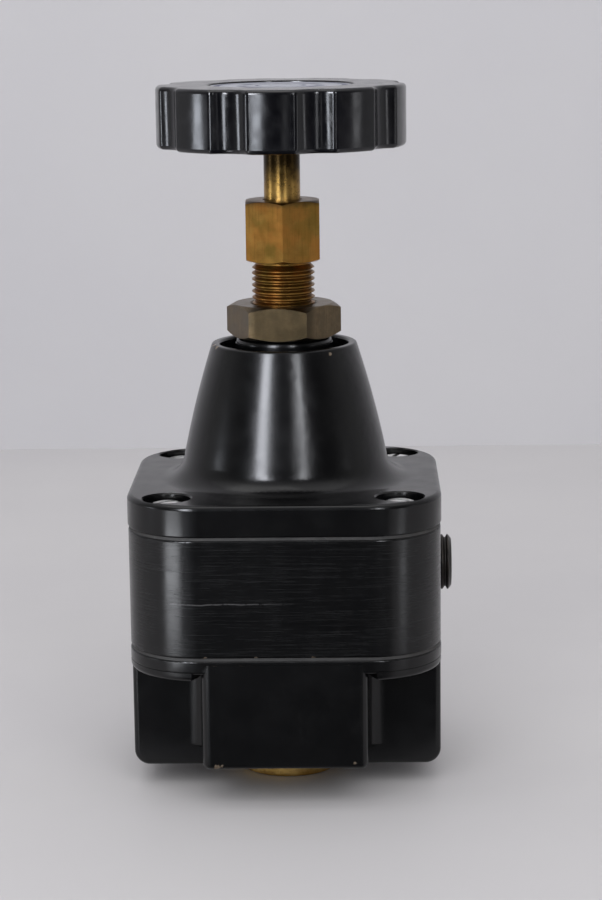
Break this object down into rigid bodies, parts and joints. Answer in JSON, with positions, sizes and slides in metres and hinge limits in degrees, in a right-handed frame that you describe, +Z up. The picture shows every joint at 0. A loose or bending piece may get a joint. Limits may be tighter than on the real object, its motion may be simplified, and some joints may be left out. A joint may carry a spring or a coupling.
{
  "type": "air pressure regulator",
  "caption": "Square-bodied precision air pressure regulator with a scalloped handwheel on a brass stem, a tapered spring bonnet, stacked castings and side pipe ports.",
  "frame": {"origin": "centre of the bottom plug's flat underside, on the spring axis", "axes": "+Z up the spring axis towards the handwheel, -Y out of the blank front panel, +X out of the face with the plugged side port, which is also the outlet side"},
  "size_m": [0.0796, 0.0768, 0.1727],
  "materials": {
    "black_enamel": "semi-gloss black enamel on cast aluminium, worn to bare metal along the lower edges",
    "black_plastic": "glossy moulded plastic",
    "label_plate": "satin printed disc, left blank",
    "brass": "machined, lightly aged",
    "tarnished_brass": "dull brown tarnish",
    "zinc_steel": "bright zinc plate",
    "spring_steel": "oiled spring steel",
    "black_oxide": "black oxide, worn on the crests",
    "aluminium": "turned",
    "diaphragm_rubber": "fabric-reinforced nitrile sheet",
    "seal_rubber": "nitrile"
  },
  "bodies": {
    "root": {"bonnet": "black_enamel", "bonnet_screws": "zinc_steel", "mid_body": "black_enamel", "lower_body": "black_enamel", "gland_bushing": "brass", "panel_jam_nut": "tarnished_brass", "side_port_plug": "black_oxide", "control_diaphragm": "diaphragm_rubber", "nozzle": "brass", "nozzle_washer": "seal_rubber", "restriction_orifice": "brass", "orifice_screen": "zinc_steel", "exhaust_ring": "aluminium", "relay_diaphragm_upper": "diaphragm_rubber", "relay_diaphragm_lower": "diaphragm_rubber", "valve_seat": "brass", "inlet_screen": "brass", "bottom_plug": "brass", "bottom_plug_oring": "seal_rubber", "range_spring": "spring_steel", "valve_spring": "spring_steel"},
    "spring_follower": {"spring_button": "zinc_steel", "thrust_ball": "spring_steel"},
    "handwheel_unit": {"handwheel": "black_plastic", "handwheel_screw": "zinc_steel", "handwheel_label": "label_plate", "adjusting_stem": "brass", "stem_snap_ring": "spring_steel"},
    "control_unit": {"control_plate_upper": "aluminium", "control_plate_lower": "aluminium", "flapper_stud": "brass", "control_diaphragm_nut": "zinc_steel"},
    "valve_unit": {"supply_valve": "brass", "valve_disc": "seal_rubber", "valve_stem_oring": "seal_rubber"},
    "relay_unit": {"relay_spool": "aluminium", "relay_spacer": "aluminium", "relay_plate_upper": "aluminium", "relay_nut": "zinc_steel"}
  },
  "joints": [
    {"name": "stem_advance", "type": "slide", "parent": "root", "child": "spring_follower", "axis": [0, 0, 1], "range_m": [-0.009, 0.001], "deforming": ["range_spring"]},
    {"name": "handwheel_turn", "type": "hinge", "parent": "spring_follower", "child": "handwheel_unit", "pos_m": [0, 0, 0.12], "axis": [0, 0, 1], "range_deg": [-3062, 340]},
    {"name": "control_travel", "type": "slide", "parent": "root", "child": "control_unit", "axis": [0, 0, 1], "range_m": [-0.0005, 0.0008], "deforming": ["control_diaphragm", "range_spring"]},
    {"name": "supply_valve_travel", "type": "slide", "parent": "root", "child": "valve_unit", "axis": [0, 0, 1], "range_m": [-0.0015, 0], "deforming": ["valve_spring", "relay_diaphragm_upper", "relay_diaphragm_lower"]},
    {"name": "exhaust_lift", "type": "slide", "parent": "valve_unit", "child": "relay_unit", "axis": [0, 0, 1], "range_m": [0, 0.0005], "deforming": ["relay_diaphragm_upper", "relay_diaphragm_lower"]}
  ],
  "couplings": [
    {"joint": "stem_advance", "follows": "handwheel_turn", "m_per_rad": 0.00016839}
  ]
}
